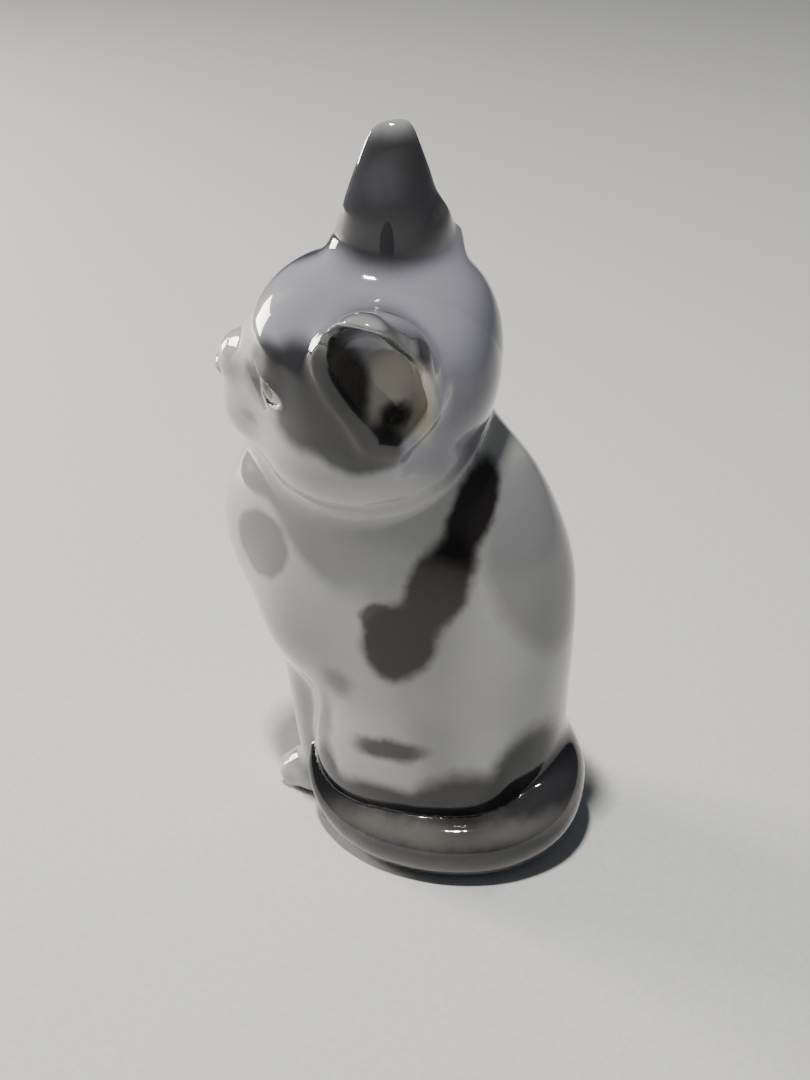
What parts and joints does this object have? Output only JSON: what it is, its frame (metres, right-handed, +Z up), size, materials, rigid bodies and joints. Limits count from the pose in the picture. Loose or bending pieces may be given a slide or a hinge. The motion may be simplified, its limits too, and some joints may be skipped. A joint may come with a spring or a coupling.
{
  "type": "cat figurine",
  "caption": "Seated porcelain kitten with turned, tilted head, open ears and a tail curled round its left side; a free-standing ornament for a shelf.",
  "frame": {"origin": "on the shelf plane, on the kitten's body line (X = 0), at the mount underside", "axes": "+Z up, the kitten's chest faces -Y, its left side (the tail side) is +X"},
  "size_m": [0.0578, 0.0712, 0.1311],
  "materials": {
    "glaze_coat": "glossy clear glaze over soft grey underglaze patches on white",
    "glaze_face": "glossy clear glaze over grey and charcoal underglaze with a white muzzle",
    "glaze_ears": "glossy clear glaze, grey backs and pale pink insides",
    "glaze_white": "glossy clear glaze over white porcelain",
    "glaze_tail": "glossy clear glaze over dark brown-grey underglaze",
    "bare_porcelain": "unglazed, fine matt"
  },
  "bodies": {
    "root": {"torso_shell": "glaze_coat", "head_shell": "glaze_face", "ear_left": "glaze_ears", "ear_right": "glaze_ears", "foreleg_left": "glaze_white", "foreleg_right": "glaze_white", "hind_foot_left": "glaze_white", "hind_foot_right": "glaze_white", "tail": "glaze_tail", "base_plate": "bare_porcelain"}
  },
  "joints": []
}
